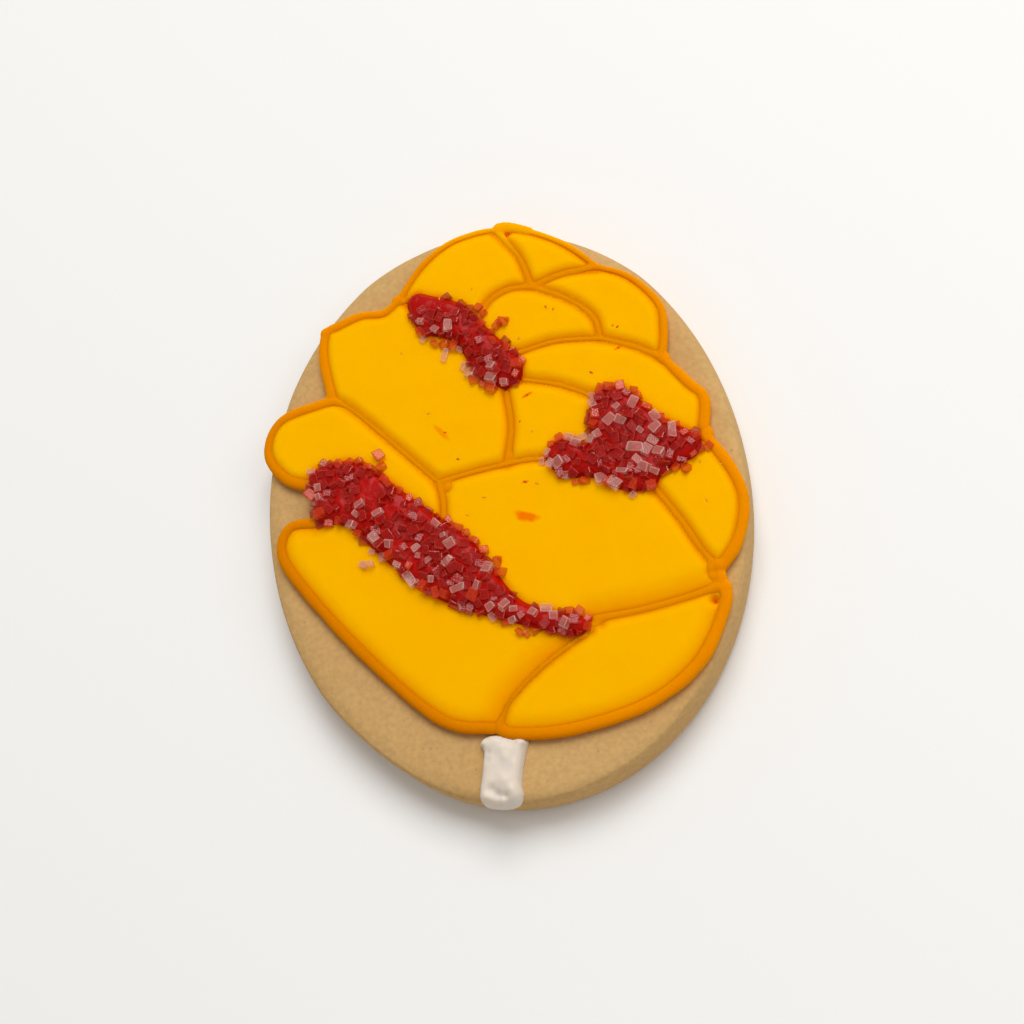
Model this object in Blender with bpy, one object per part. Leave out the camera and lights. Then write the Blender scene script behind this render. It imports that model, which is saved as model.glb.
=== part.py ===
"""An oval sugar cookie iced as a carved mango flower: twelve flooded petals inside piped outlines,
three red gel streaks crusted with coarse sugar in the creases, and a white icing stick at the foot."""

import math
import random

import bmesh
import bpy
import numpy as np
from mathutils import Euler, Vector
from mathutils.geometry import delaunay_2d_cdt

MM = 0.001

# The biscuit, cut with an oval cutter: +Y along its length, +Z up, resting on z = 0. Sizes in mm.
BISCUIT_LENGTH = 86.2
BISCUIT_WIDTH = 70.4
BISCUIT_THICK = 7.0
FOOT_TUCK = 0.9
SHOULDER_WIDTH = 3.2
SHOULDER_DROP = 1.1
BISCUIT_SIDES = 72

# The icing. A gap keeps each solid clear of the next.
GAP = 0.3
FLOOD_HEIGHT = 2.3
BEAD_HEIGHT = 1.5
OUTLINE_STEP = 2.5

# Coarse decorating sugar.
SUGAR_SIZE = 1.6
SUGAR_PITCH = 1.95
SUGAR_EDGE = 1.0

# Where the lines of the design meet, in mm on the biscuit's top.
MEETS = {
    "crown": (7.9, 42.0),
    "east_1": (21.1, 31.2),
    "east_2": (28.2, 14.2),
    "east_3": (31.5, 1.7),
    "east_4": (29.6, -18.1),
    "east_5": (29.1, -20.3),
    "foot": (-6.2, -32.9),
    "west_1": (-26.0, 4.9),
    "west_2": (-26.9, 9.0),
    "west_3": (-21.7, 22.5),
    "west_4": (-8.4, 35.4),
    "heart_1": (11.4, 30.6),
    "heart_2": (19.6, 19.6),
    "heart_3": (2.6, 4.9),
    "heart_4": (-7.7, 5.0),
    "upper_head": (-6.9, 33.6),
    "upper_east": (2.6, 27.9),
    "upper_low": (7.1, 21.0),
    "upper_tip": (7.0, 16.9),
    "upper_west": (4.6, 16.1),
    "star_west": (8.3, 4.1),
    "star_north": (16.9, 11.2),
    "star_east": (30.2, 1.0),
    "star_south": (22.3, -4.3),
    "lower_bend": (-8.0, -0.9),
    "lower_tip_1": (9.8, -20.4),
    "lower_tip_2": (8.2, -22.3),
}

# Each line of the design: where it starts, the points it passes, and where it ends.
LINES = {
    "rim_a": ("west_4", [(-4.8, 39.2), (0.0, 41.7), (4.5, 42.3)], "crown"),
    "rim_b": ("crown", [(12.9, 39.9), (17.6, 35.5)], "east_1"),
    "rim_c": ("east_1", [(25.6, 28.0), (29.0, 22.4), (29.2, 17.9)], "east_2"),
    "rim_f": ("east_2", [(31.0, 9.7), (32.8, 6.6)], "east_3"),
    "rim_j": ("east_3", [(34.0, -4.5), (34.3, -10.6), (31.9, -15.6)], "east_4"),
    "rim_i": ("east_4", [], "east_5"),
    "rim_l": ("east_5", [(28.6, -24.0), (23.5, -30.5), (15.3, -34.5), (4.5, -35.5), (-3.4, -34.3)], "foot"),
    "rim_k": ("foot", [(-14.0, -29.5), (-23.4, -17.8), (-31.2, -5.0), (-33.4, 1.2), (-30.9, 5.4)], "west_1"),
    "rim_h": ("west_2", [(-30.4, 11.7), (-32.3, 16.8), (-29.6, 21.6)], "west_3"),
    "rim_e": ("west_3", [(-22.3, 28.9), (-21.0, 33.8), (-14.9, 34.6)], "west_4"),
    "a_b": ("crown", [(10.4, 36.0)], "heart_1"),
    "b_c": ("heart_1", [(16.2, 31.3)], "east_1"),
    "a_d": ("upper_east", [(4.9, 30.3), (8.0, 31.2)], "heart_1"),
    "c_d": ("heart_1", [(16.2, 27.0), (19.2, 23.2)], "heart_2"),
    "d_f": ("upper_low", [(13.2, 21.1)], "heart_2"),
    "c_f": ("heart_2", [(24.2, 16.8)], "east_2"),
    "a_e": ("west_4", [], "upper_head"),
    "e_g": ("upper_west", [(4.3, 10.2)], "heart_3"),
    "f_g": ("upper_tip", [(12.2, 14.5)], "star_north"),
    "e_i": ("heart_3", [(-2.3, 5.1)], "heart_4"),
    "g_i": ("heart_3", [(5.5, 4.7)], "star_west"),
    "e_h": ("west_3", [(-18.2, 19.4), (-12.4, 11.6)], "heart_4"),
    "h_i": ("heart_4", [(-7.5, 2.2)], "lower_bend"),
    "i_j": ("star_south", [(25.2, -10.0), (27.3, -15.2)], "east_4"),
    "i_l": ("lower_tip_1", [(16.7, -20.9), (23.4, -20.8)], "east_5"),
    "k_l": ("lower_tip_2", [(1.8, -25.2), (-3.3, -28.6)], "foot"),
    "f_j": ("star_east", [], "east_3"),
    "upper_a": ("upper_head", [(-5.3, 34.0), (-0.4, 31.5)], "upper_east"),
    "upper_d": ("upper_east", [(5.0, 24.0)], "upper_low"),
    "upper_f": ("upper_low", [(7.8, 18.8)], "upper_tip"),
    "upper_g": ("upper_tip", [], "upper_west"),
    "upper_e": ("upper_west", [(1.2, 18.5), (-2.0, 24.2), (-5.9, 28.9)], "upper_head"),
    "star_f": ("star_east", [(25.0, 5.8), (21.8, 10.5), (19.6, 11.9)], "star_north"),
    "star_g": ("star_north", [(15.9, 7.4), (11.0, 6.3)], "star_west"),
    "star_i": ("star_west", [(12.4, -0.2), (18.2, -3.5)], "star_south"),
    "star_j": ("star_south", [(24.6, -2.3), (29.0, -1.5)], "star_east"),
    "lower_h": ("west_2", [(-25.8, 11.8), (-19.3, 11.5), (-13.6, 5.6)], "lower_bend"),
    "lower_i": ("lower_bend", [(-4.3, -5.2), (0.4, -14.9), (5.9, -18.5)], "lower_tip_1"),
    "lower_l": ("lower_tip_1", [], "lower_tip_2"),
    "lower_k": ("lower_tip_2", [(0.3, -18.6), (-10.3, -12.1), (-17.0, -4.5), (-21.6, 1.9)], "west_1"),
    "lower_end": ("west_1", [], "west_2"),
}

# The lines round each petal, in turn.
PETALS = {
    "petal_top_left": ["rim_a", "a_b", "a_d", "upper_a", "a_e"],
    "petal_top_right": ["rim_b", "b_c", "a_b"],
    "petal_upper_right": ["rim_c", "c_f", "c_d", "b_c"],
    "petal_heart": ["c_d", "d_f", "upper_d", "a_d"],
    "petal_left_large": ["rim_e", "a_e", "upper_e", "e_g", "e_i", "e_h"],
    "petal_right_arch": ["rim_f", "f_j", "star_f", "f_g", "upper_f", "d_f", "c_f"],
    "petal_middle": ["f_g", "star_g", "g_i", "e_g", "upper_g"],
    "petal_left_small": ["rim_h", "e_h", "h_i", "lower_h"],
    "petal_centre": ["g_i", "star_i", "i_j", "rim_i", "i_l", "lower_i", "h_i", "e_i"],
    "petal_right": ["rim_j", "i_j", "star_j", "f_j"],
    "petal_lower_left": ["rim_k", "lower_k", "k_l"],
    "petal_lower_right": ["rim_l", "k_l", "lower_l", "i_l"],
}

# The lines round each red streak.
STREAKS = {
    "red_streak_upper": ["upper_a", "upper_d", "upper_f", "upper_g", "upper_e"],
    "red_streak_star": ["star_f", "star_g", "star_i", "star_j"],
    "red_streak_lower": ["lower_h", "lower_i", "lower_l", "lower_k", "lower_end"],
}

# The white stick: its corners and the middles of its sides, in turn.
STICK = [(-9.1, -33.4), (-6.3, -33.9), (-2.7, -35.3), (-3.6, -38.0)]
STICK += [(-4.6, -41.6), (-7.2, -42.2), (-9.8, -41.3), (-9.6, -37.0)]

# How each kind of edge rises: how far in from the line, and how high above the biscuit, in mm.
# A petal has a full piped bead outside, and half of a shared one against the next petal.
RIM = [(0.15, 0.8), (0.55, 1.4), (1.05, BEAD_HEIGHT), (1.8, 1.15), (3.2, 1.95), (4.8, FLOOD_HEIGHT)]
SEAM = [(0.15, 1.45), (0.55, 1.35), (1.05, 1.15), (1.8, 1.65), (3.2, 2.15), (4.8, FLOOD_HEIGHT)]
BANK = [(0.15, 1.3), (0.55, 1.5), (1.05, 1.6), (1.8, 1.75), (3.2, 2.15), (4.8, FLOOD_HEIGHT)]
STREAK = [(0.15, 2.35), (0.7, 2.8), (1.7, 3.2), (2.8, 3.4)]
STICK_RISE = [(0.15, 0.9), (0.5, 1.6), (1.4, 2.0), (2.4, 1.8)]
PETAL_LOOPS = [0.55, 1.05, 1.8]
STREAK_LOOPS = [0.7]
GRID_PITCH = 2.7


def finish(name, colour, roughness):
    """The icing's or biscuit's own colour and gloss."""
    material = bpy.data.materials.new(name)
    material.use_nodes = True
    shader = material.node_tree.nodes["Principled BSDF"]
    shader.inputs["Base Color"].default_value = (*colour, 1.0)
    shader.inputs["Roughness"].default_value = roughness
    shader.inputs["Metallic"].default_value = 0.0
    return material


def curve_through(points):
    """Points along a smooth curve through the given ones, about one every OUTLINE_STEP."""
    knots = [Vector(p) for p in points]
    knots = [2 * knots[0] - knots[1]] + knots + [2 * knots[-1] - knots[-2]]
    found = []
    for before, start, end, after in zip(knots, knots[1:], knots[2:], knots[3:]):
        steps = max(1, round((end - start).length / OUTLINE_STEP))
        for k in range(steps):
            t = k / steps
            found.append(
                0.5
                * (
                    2 * start
                    + (end - before) * t
                    + (2 * before - 5 * start + 4 * end - after) * t**2
                    + (3 * start - before - 3 * end + after) * t**3
                )
            )
    return found


def outline(names):
    """The closed outline that the named lines make, and the name of the line that each point lies on."""
    points, owners = [], []
    first, _, last = LINES[names[0]]
    following = {LINES[names[1]][0], LINES[names[1]][2]}
    here = first if last in following else last
    for name in names:
        start, passed, end = LINES[name]
        forward = start == here
        route = [MEETS[start], *passed, MEETS[end]]
        part = curve_through(route if forward else route[::-1])
        points += part
        owners += [name] * len(part)
        here = end if forward else start
    flat = np.array([(p.x, p.y) for p in points])
    turned = np.roll(flat, -1, axis=0)
    area = (flat[:, 0] * turned[:, 1] - turned[:, 0] * flat[:, 1]).sum()
    if area < 0:
        flat = flat[::-1]
        owners = owners[-2::-1] + owners[-1:]
    return flat, owners


def distance_each(flat, places):
    """How far each place is from each side of the closed outline."""
    along = np.roll(flat, -1, axis=0) - flat
    share = ((places[:, None] - flat) * along).sum(2) / (along**2).sum(1)
    nearest = flat + np.clip(share, 0, 1)[..., None] * along
    return np.linalg.norm(places[:, None] - nearest, axis=2)


def distance_to(flat, places):
    """How far each place is from the closed outline, negative outside it."""
    starts, ends = flat, np.roll(flat, -1, axis=0)
    along = ends - starts
    distance = distance_each(flat, places).min(1)
    spans = (starts[:, 1] > places[:, None, 1]) != (ends[:, 1] > places[:, None, 1])
    rise = np.where(along[:, 1] == 0, 1e-12, along[:, 1])
    crossing = starts[:, 0] + (places[:, None, 1] - starts[:, 1]) / rise * along[:, 0]
    inside = (spans & (places[:, None, 0] < crossing)).sum(1) % 2 == 1
    return np.where(inside, distance, -distance)


def inward(flat):
    """The unit direction into the outline at each of its points."""
    edge = np.roll(flat, -1, axis=0) - flat
    edge /= np.linalg.norm(edge, axis=1)[:, None]
    mean = edge + np.roll(edge, 1, axis=0)
    mean /= np.linalg.norm(mean, axis=1)[:, None]
    return np.stack([-mean[:, 1], mean[:, 0]], 1)


def biscuit_top(x, y):
    """The height of the biscuit's upper side: flat, with a shoulder that falls away at the edge."""
    radius = math.hypot(x / (BISCUIT_WIDTH / 2), y / (BISCUIT_LENGTH / 2))
    from_edge = (1 - radius) * BISCUIT_WIDTH / 2
    fall = min(1.0, max(0.0, 1 - from_edge / SHOULDER_WIDTH))
    return BISCUIT_THICK - SHOULDER_DROP * fall**2.5


def icing_rest(x, y):
    """The level that the icing builds on: it fills half of the shoulder's fall."""
    return (BISCUIT_THICK + biscuit_top(x, y)) / 2


def move_in(flat, inset):
    """Each outline point moved in to a depth, and how deep it got: the narrow ends are less deep."""
    reach = np.arange(0.0, 3 * inset + 0.05, 0.05)
    moved, depths = [], []
    for point, direction in zip(flat, inward(flat)):
        places = point + reach[:, None] * direction
        depth = distance_to(flat, places)
        step = int(np.argmax(depth >= inset)) if depth.max() >= inset else int(np.argmax(depth))
        moved.append(places[step])
        depths.append(depth[step])
    return np.array(moved), np.array(depths)


def inner_places(flat, loops):
    """Places inside an outline: loops that follow it, and a grid over the middle."""
    found = []
    for inset in loops:
        moved, depths = move_in(flat, inset)
        for place, depth in zip(moved, depths):
            apart = min((np.hypot(*(place - other)) for other in found), default=9.0)
            if depth > inset - 0.05 and apart > 0.35:
                found.append(place)
    low, high = flat.min(0), flat.max(0)
    row_pitch = GRID_PITCH * 0.87
    for row in range(int((high[1] - low[1]) / row_pitch) + 1):
        for column in range(int((high[0] - low[0]) / GRID_PITCH) + 2):
            place = low + ((column - row % 2 / 2) * GRID_PITCH, row * row_pitch)
            if distance_to(flat, place[None])[0] > loops[-1] + GRID_PITCH * 0.4:
                found.append(place)
    return found


def fill_outline(bm, rim, inner):
    """Triangles from a ring of corners across to one another and to the inner ones."""
    corners = rim + inner
    sides = [(k, (k + 1) % len(rim)) for k in range(len(rim))]
    flat = [corner.co.xy / MM for corner in corners]
    _, _, faces, sources, _, _ = delaunay_2d_cdt(flat, sides, [], 1, 1e-4)
    for face in faces:
        bm.faces.new([corners[sources[k][0]] for k in face])


def raise_solid(name, flat, loops, height_at, material, collection):
    """A closed solid inside an outline: its top by a rule of height, its foot on the biscuit."""
    rim_places, _ = move_in(flat, 0.15)
    inside = inner_places(flat, loops)
    over_shoulder = [place for place in inside if biscuit_top(*place) < BISCUIT_THICK]
    mesh = bpy.data.meshes.new(name)
    bm = bmesh.new()

    def top_corner(place):
        return bm.verts.new(Vector((*place, icing_rest(*place) + height_at(place))) * MM)

    def foot_corner(place):
        return bm.verts.new(Vector((*place, biscuit_top(*place) + GAP)) * MM)

    fill_outline(bm, [top_corner(place) for place in rim_places], [top_corner(place) for place in inside])
    foot_rim = [foot_corner(place) for place in rim_places]
    fill_outline(bm, foot_rim, [foot_corner(place) for place in over_shoulder])
    bmesh.ops.bridge_loops(bm, edges=[edge for edge in bm.edges if edge.is_boundary])
    bmesh.ops.triangulate(bm, faces=bm.faces[:])
    bmesh.ops.recalc_face_normals(bm, faces=bm.faces[:])
    bm.to_mesh(mesh)
    bm.free()
    mesh.materials.append(material)
    mesh.shade_smooth()
    mesh.set_sharp_from_angle(angle=math.radians(50))
    thing = bpy.data.objects.new(name, mesh)
    collection.objects.link(thing)
    return thing


def make_biscuit(material, collection):
    """The oval slab: a tucked foot, an upright side and a soft shoulder."""
    half_x, half_y = BISCUIT_WIDTH / 2, BISCUIT_LENGTH / 2
    side_top = BISCUIT_THICK - SHOULDER_DROP
    levels = [(FOOT_TUCK, 0.0), (0.15, 0.9), (0.0, 2.5), (0.0, side_top - 0.8), (0.12, side_top)]
    levels += [(inset, None) for inset in (0.5, 1.1, 2.0, SHOULDER_WIDTH)]
    mesh = bpy.data.meshes.new("biscuit")
    bm = bmesh.new()
    made = bmesh.ops.create_circle(bm, cap_ends=True, segments=BISCUIT_SIDES, radius=1.0)
    top = made["verts"][0].link_faces[0]
    for level, (inset, z) in enumerate(levels):
        if level:
            bmesh.ops.inset_individual(bm, faces=[top], thickness=0.0)
        share = 1 - inset / half_x
        for k, corner in enumerate(top.verts):
            turn = math.tau * k / BISCUIT_SIDES
            x = half_x * share * math.cos(turn)
            y = half_y * share * math.sin(turn)
            corner.co = Vector((x, y, biscuit_top(x, y) if z is None else z)) * MM
    bmesh.ops.edgeloop_fill(bm, edges=[edge for edge in bm.edges if edge.is_boundary])
    bmesh.ops.triangulate(bm, faces=bm.faces[:])
    bmesh.ops.recalc_face_normals(bm, faces=bm.faces[:])
    bm.to_mesh(mesh)
    bm.free()
    mesh.materials.append(material)
    mesh.shade_smooth()
    mesh.set_sharp_from_angle(angle=math.radians(50))
    thing = bpy.data.objects.new("biscuit", mesh)
    collection.objects.link(thing)


def by_profile(profile, depth):
    """The height that an edge profile gives at a depth."""
    insets, heights = zip(*profile)
    return float(np.interp(depth, insets, heights))


def edge_profile(owner):
    """A petal's profile along a line: a full bead outside, half of one at a petal, a bank at a streak."""
    if owner.startswith("rim_"):
        return RIM
    return SEAM if owner[1] == "_" else BANK


def make_petal(name, lines, material, collection):
    """One flooded petal inside its piped outline."""
    flat, owners = outline(lines)
    kinds = [edge_profile(owner) for owner in owners]

    def height_at(place):
        nearest = int(np.argmin(distance_each(flat, np.array([place]))[0]))
        return by_profile(kinds[nearest], distance_to(flat, np.array([place]))[0])

    return raise_solid(name, flat, PETAL_LOOPS, height_at, material, collection)


def streak_height(flat, place):
    """How high a red streak stands above the biscuit."""
    return by_profile(STREAK, distance_to(flat, np.array([place]))[0])


def sugar_places(flat, draw):
    """Where the sugar crystals sit: a jittered grid over the streak, clear of its edge."""
    low, high = flat.min(0), flat.max(0)
    places = []
    row = 0
    y = low[1]
    while y < high[1]:
        x = low[0] + SUGAR_PITCH / 2 * (row % 2)
        while x < high[0]:
            jitter = SUGAR_PITCH * 0.22
            place = (x + draw.uniform(-jitter, jitter), y + draw.uniform(-jitter, jitter))
            depth = distance_to(flat, np.array([place]))[0]
            if depth > SUGAR_EDGE:
                places.append(place)
            x += SUGAR_PITCH
        y += SUGAR_PITCH * 0.87
        row += 1
    return places


def make_crystal(place, height, draw, material, collection):
    """One sugar crystal: a small block that lies on the streak at a chance tilt."""
    x, y = place
    bpy.ops.mesh.primitive_cube_add(size=1.0)
    crystal = bpy.context.object
    length = SUGAR_SIZE * draw.uniform(0.85, 1.15)
    sides = (length, length * draw.uniform(0.65, 0.95), length * draw.uniform(0.6, 0.85))
    crystal.scale = [side * MM for side in sides]
    tilt = draw.uniform(-0.5, 0.5), draw.uniform(-0.5, 0.5), draw.uniform(0, math.pi)
    crystal.rotation_euler = Euler(tilt)
    crystal.location = Vector((x, y, biscuit_top(x, y) + height + draw.uniform(0.1, 0.35))) * MM
    crystal.data.materials.append(material)
    for holder in crystal.users_collection:
        holder.objects.unlink(crystal)
    collection.objects.link(crystal)
    return crystal


def make_streak(name, lines, material, collection, seed):
    """One red gel streak that fills its crease, with the sugar crystals joined to it."""
    flat, _ = outline(lines)

    def height_at(place):
        return streak_height(flat, place)

    streak = raise_solid(name, flat, STREAK_LOOPS, height_at, material, collection)
    draw = random.Random(seed)
    heap = bpy.data.collections.new(name + "_sugar")
    bpy.context.scene.collection.children.link(heap)
    crystals = []
    for place in sugar_places(flat, draw):
        crystals.append(make_crystal(place, height_at(place), draw, material, heap))
    join = streak.modifiers.new("sugar", "BOOLEAN")
    join.operation = "UNION"
    join.operand_type = "COLLECTION"
    join.collection = heap
    join.solver = "MANIFOLD"
    bpy.context.view_layer.objects.active = streak
    bpy.ops.object.modifier_apply(modifier=join.name)
    for crystal in crystals:
        bpy.data.objects.remove(crystal)
    bpy.data.collections.remove(heap)
    streak.data.set_sharp_from_angle(angle=math.radians(30))
    return streak


def make_stick(material, collection):
    """The white stick, a flat daub of stiff icing from the petals to the biscuit's edge."""
    flat = np.array([(p.x, p.y) for p in curve_through(STICK + STICK[:1])])
    turned = np.roll(flat, -1, axis=0)
    if (flat[:, 0] * turned[:, 1] - turned[:, 0] * flat[:, 1]).sum() < 0:
        flat = flat[::-1]

    def height_at(place):
        return by_profile(STICK_RISE, distance_to(flat, np.array([place]))[0])

    return raise_solid("white_stick", flat, [0.5, 1.2], height_at, material, collection)


def main():
    for thing in list(bpy.data.objects):
        bpy.data.objects.remove(thing)
    cookie = bpy.data.collections.new("iced_cookie")
    bpy.context.scene.collection.children.link(cookie)
    dough = finish("baked_dough", (0.54, 0.34, 0.14), 0.8)
    yellow = finish("yellow_icing", (1.0, 0.43, 0.0), 0.5)
    red = finish("sugared_red_gel", (0.35, 0.01, 0.005), 0.3)
    white = finish("white_icing", (0.78, 0.72, 0.66), 0.55)
    make_biscuit(dough, cookie)
    for name, lines in PETALS.items():
        make_petal(name, lines, yellow, cookie)
    for seed, (name, lines) in enumerate(STREAKS.items()):
        make_streak(name, lines, red, cookie, seed)
    make_stick(white, cookie)


main()
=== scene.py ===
"""An oval sugar cookie iced as a carved mango flower: flooded petals inside piped outlines, red gel in
the creases under coarse sanding sugar, and a white icing stick at the foot."""

import functools
import math
import random

import bmesh
import bpy
import numpy as np
from mathutils import Euler, Matrix, Vector, noise


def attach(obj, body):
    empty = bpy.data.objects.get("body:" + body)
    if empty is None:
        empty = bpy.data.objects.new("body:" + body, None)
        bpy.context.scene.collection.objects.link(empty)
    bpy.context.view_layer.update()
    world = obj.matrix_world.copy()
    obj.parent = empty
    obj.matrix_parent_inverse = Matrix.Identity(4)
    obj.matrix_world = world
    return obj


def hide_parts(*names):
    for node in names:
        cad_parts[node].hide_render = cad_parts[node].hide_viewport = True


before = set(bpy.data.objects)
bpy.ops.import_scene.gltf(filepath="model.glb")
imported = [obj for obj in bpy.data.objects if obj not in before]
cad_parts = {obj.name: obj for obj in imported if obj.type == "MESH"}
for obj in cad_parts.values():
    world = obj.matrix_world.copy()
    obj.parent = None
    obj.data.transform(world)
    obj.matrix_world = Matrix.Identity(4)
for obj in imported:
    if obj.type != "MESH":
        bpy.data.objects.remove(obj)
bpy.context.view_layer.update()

MM = 0.001

# The biscuit, in mm, as the frame's solid has it.
LENGTH = 86.2
WIDTH = 70.4
THICK = 7.0
SHOULDER_WIDTH = 3.2
SHOULDER_DROP = 1.1

# How the biscuit is uneven, in mm, and how many corners go round it.
SIDE_WANDER = 0.06
TOP_WANDER = 0.07
BISCUIT_CORNERS = 288

# The piping, in mm: its radius and the height of its crest, on the seams and on the rim.
PIPE_RADIUS = 0.69
PIPE_CREST = 1.4
RIM_PIPE_RADIUS = 0.89
RIM_PIPE_CREST = 1.62

# How much slimmer the piping is at the top of the flower and along the slim seams, in mm.
PIPE_THINNING = 0.4
SLIM_SEAM = 0.2

# The way to the top of the flower, and how far towards it a place lies where the thinning starts and
# how much further it is full.
TOPWARD = np.array([0.37, 0.93])
THINNING_START = 0.6
THINNING_SPAN = 0.35

# The piping's section: its corners, and how far it reaches up and down as shares of its radius.
PIPE_CORNERS = 14
PIPE_FLATNESS = 0.75
PIPE_DEPTH = 1.5

# The piping is thick and thin by turns: by this share, over this many mm.
PIPE_SWELL = 0.1
PIPE_SWELL_LENGTH = 3.0

# The pitch at which the piped lines are run together, and the pitch and the least gap of a stroke, in mm.
PIPE_VOXEL = 0.19
STROKE_PITCH = 0.4
STROKE_GAP = 0.25

# The flood, in mm: its height at the piping and in the middle, and its slope's start, width and curve.
FLOOD_EDGE = 1.18
FLOOD_TOP = 1.7
FLOOD_START = 0.33
FLOOD_SLOPE = 1.45
FLOOD_CURVE = 1.8
FLOOD_PITCH = 0.28

# The painted shade in the crease between flood and piping, in mm from the middle of the piped line.
RIM_CREASE = 0.72
SEAM_CREASE = 0.52
CREASE_WIDTH = 0.26

# How far a thinned rim draws the flood's slope and the painted crease shade towards the line, and how far
# its crest sinks, per mm of thinning.
START_DRAWN = 0.85
CREASE_DRAWN = 1.5
CREST_SUNK = 0.2

# Along a red streak the flood banks down to this height over this far, and is stained this far, in mm.
BANK_EDGE = 1.5
BANK_SLOPE = 1.5
STAIN_REACH = 0.55

# The gel lies in the creases between the petals: its bed, its heap and the width of its shoulder, in mm.
GEL_BED = 1.42
GEL_HEAP = 1.45
GEL_SHOULDER = 1.9
GEL_SPREAD = 0.2
GEL_PITCH = 0.3

# The white stick, in mm: its edge, its heap and the width of its shoulder.
STICK_EDGE = 0.35
STICK_HEAP = 1.35
STICK_SHOULDER = 1.5
STICK_PITCH = 0.22

# How far icing and gel sink into the biscuit, in mm.
ICING_SINK = 0.1

# Coarse sanding sugar: a crystal's size in mm, the shares of it that its sides are drawn from, its skew
# and the worn part of its edges.
SUGAR_SIZE = 1.5
SUGAR_LENGTHS = (0.65, 1.12)
SUGAR_WIDTHS = (0.65, 0.9)
SUGAR_HEIGHTS = (0.5, 0.75)
SUGAR_SKEW = 0.1
SUGAR_WORN = 0.09

# How the sugar is strewn: its spacing, its overhang, its jitter along the edge and its highest point, in
# mm, and how many places are tried on a square millimetre.
SUGAR_SPACING = 1.08
SUGAR_OVERHANG = 0.2
SUGAR_JITTER = 0.25
SUGAR_TOP = 11.8
SUGAR_TRIES = 9

# Specks dried onto the icing, in mm.
SPECK_LENGTHS = (0.16, 0.32)
SPECK_WIDTHS = (0.1, 0.16)
SPECK_HEIGHT = 0.06
SPECK_LIFT = 0.02

# How wide the features of each finish's patterns are, in mm.
ICING_CLOUDS = 7.14
ICING_DIMPLES = 3.846
ICING_GRAIN = 0.3846
SMUDGE_EDGES = 0.909
GEL_STREAKS = 3.125
GEL_RIPPLES = 1.4286
SUGAR_WEAR = 0.6667
DOUGH_CLOUDS = 11.11
DOUGH_GRAIN = 0.7143
DOUGH_PORES = 2.381
DOUGH_CRUMB = 1.25

# Where the lines of the design meet, in mm on the biscuit's top. Every line is the middle of its piping.
MEETS = {
    "crown": (7.7, 41.0),
    "east_1": (21.2, 30.3),
    "east_2": (27.3, 14.1),
    "east_3": (30.6, 1.6),
    "east_4": (28.4, -18.1),
    "east_5": (28.3, -20.4),
    "foot": (-5.8, -32.0),
    "west_1": (-26.1, 3.9),
    "west_2": (-26.3, 9.8),
    "west_3": (-21.0, 22.0),
    "west_4": (-8.2, 34.5),
    "heart_1": (11.4, 30.6),
    "heart_2": (19.6, 19.6),
    "heart_3": (2.6, 4.9),
    "heart_4": (-7.7, 5.0),
    "upper_head": (-7.2, 33.7),
    "upper_east": (2.6, 27.9),
    "upper_low": (7.1, 21.0),
    "upper_tip": (7.0, 16.9),
    "upper_west": (4.6, 16.1),
    "star_west": (8.3, 4.1),
    "star_north": (16.9, 11.2),
    "star_east": (30.2, 1.0),
    "star_south": (22.3, -4.3),
    "lower_bend": (-8.0, -0.9),
    "lower_tip_1": (9.8, -20.4),
    "lower_tip_2": (8.2, -22.3),
}

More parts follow.
